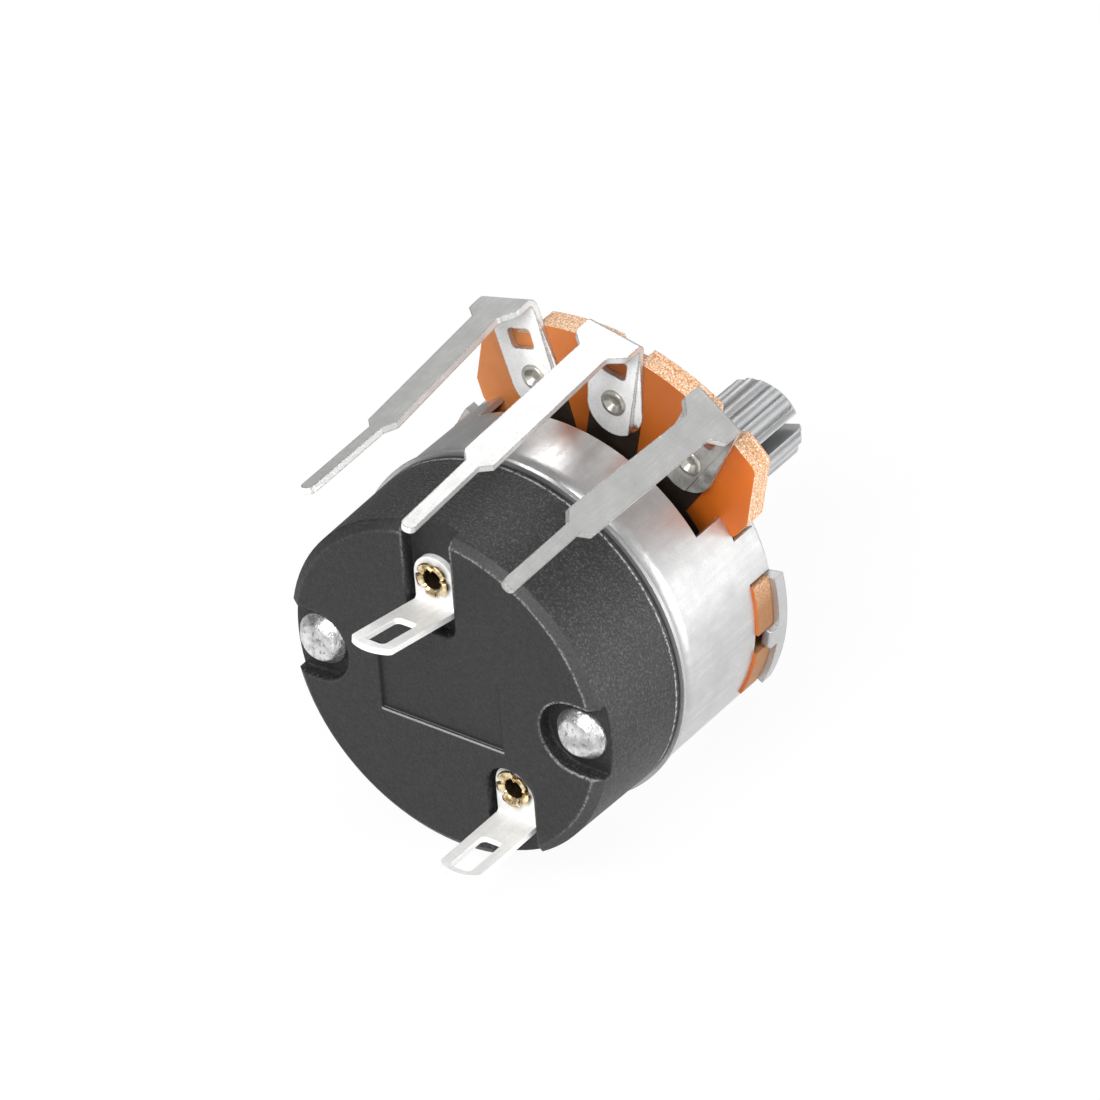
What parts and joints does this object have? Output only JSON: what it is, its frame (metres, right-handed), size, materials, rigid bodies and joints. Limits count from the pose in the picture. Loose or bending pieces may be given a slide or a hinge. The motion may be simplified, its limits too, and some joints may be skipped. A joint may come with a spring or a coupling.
{
  "type": "switched potentiometer",
  "caption": "Single-turn rotary potentiometer with knurled split shaft, soldered terminals and a snap-action on/off switch riveted to its back.",
  "frame": {"origin": "shaft axis at the face that the panel touches", "axes": "+Y along the shaft towards the knob, +Z towards the middle terminal, +X to the right as seen from the rear"},
  "size_m": [0.0252, 0.041, 0.0308],
  "materials": {
    "black_plastic": "fine-grained matte black",
    "tinplate": "soft brushed tinplate",
    "zinc_plate": "bright zinc plating",
    "shaft_metal": "turned and knurled",
    "bushing_metal": "turned",
    "clip_steel": "spring steel",
    "phenolic": "paper laminate, orange-brown",
    "carbon_film": "printed carbon",
    "tinned_metal": "tin plated",
    "rivet_metal": "bright, scuffed",
    "brass": "bright",
    "moulding": "dark brown moulding",
    "fibre": "vulcanised fibre",
    "spring_bronze": "rolled strip"
  },
  "bodies": {
    "housing": {"switch_housing": "black_plastic", "switch_base_plate": "zinc_plate", "insulating_disc": "fibre", "can": "tinplate", "front_plate": "zinc_plate", "bushing": "bushing_metal", "terminal_board": "phenolic", "resistance_track": "carbon_film", "collector_ring": "carbon_film", "terminal_left": "tinned_metal", "terminal_center": "tinned_metal", "terminal_right": "tinned_metal", "terminal_rivet_left": "rivet_metal", "terminal_rivet_center": "rivet_metal", "terminal_rivet_right": "rivet_metal", "contact_upper": "spring_bronze", "contact_lower": "spring_bronze", "switch_lug_upper": "tinned_metal", "switch_lug_lower": "tinned_metal", "eyelet_upper": "brass", "eyelet_lower": "brass", "rivet_left": "rivet_metal", "rivet_right": "rivet_metal"},
    "shaft": {"shaft": "shaft_metal", "retaining_clip": "clip_steel", "rotor": "moulding", "wiper": "spring_bronze", "drive_plate": "zinc_plate"},
    "lever": {"switch_lever": "moulding", "bridge_contact": "spring_bronze"},
    "spring": {"snap_spring": "clip_steel"}
  },
  "joints": [
    {"name": "shaft_turn", "type": "hinge", "parent": "housing", "child": "shaft", "pos_m": [0, 0, 0], "axis": [0, -1, 0], "range_deg": [-150, 150]},
    {"name": "lever_snap", "type": "hinge", "parent": "housing", "child": "lever", "pos_m": [-0.00452, -0.0135, -0.00751], "axis": [0, -1, 0], "range_deg": [0, 24]},
    {"name": "spring_rock", "type": "hinge", "parent": "housing", "child": "spring", "pos_m": [-0.00778, -0.0143, -0.00385], "axis": [0, -1, 0], "range_deg": [-22.5, 0.3]}
  ],
  "couplings": [
    {"joint": "spring_rock", "follows": "lever_snap", "ratio": -0.92179}
  ]
}
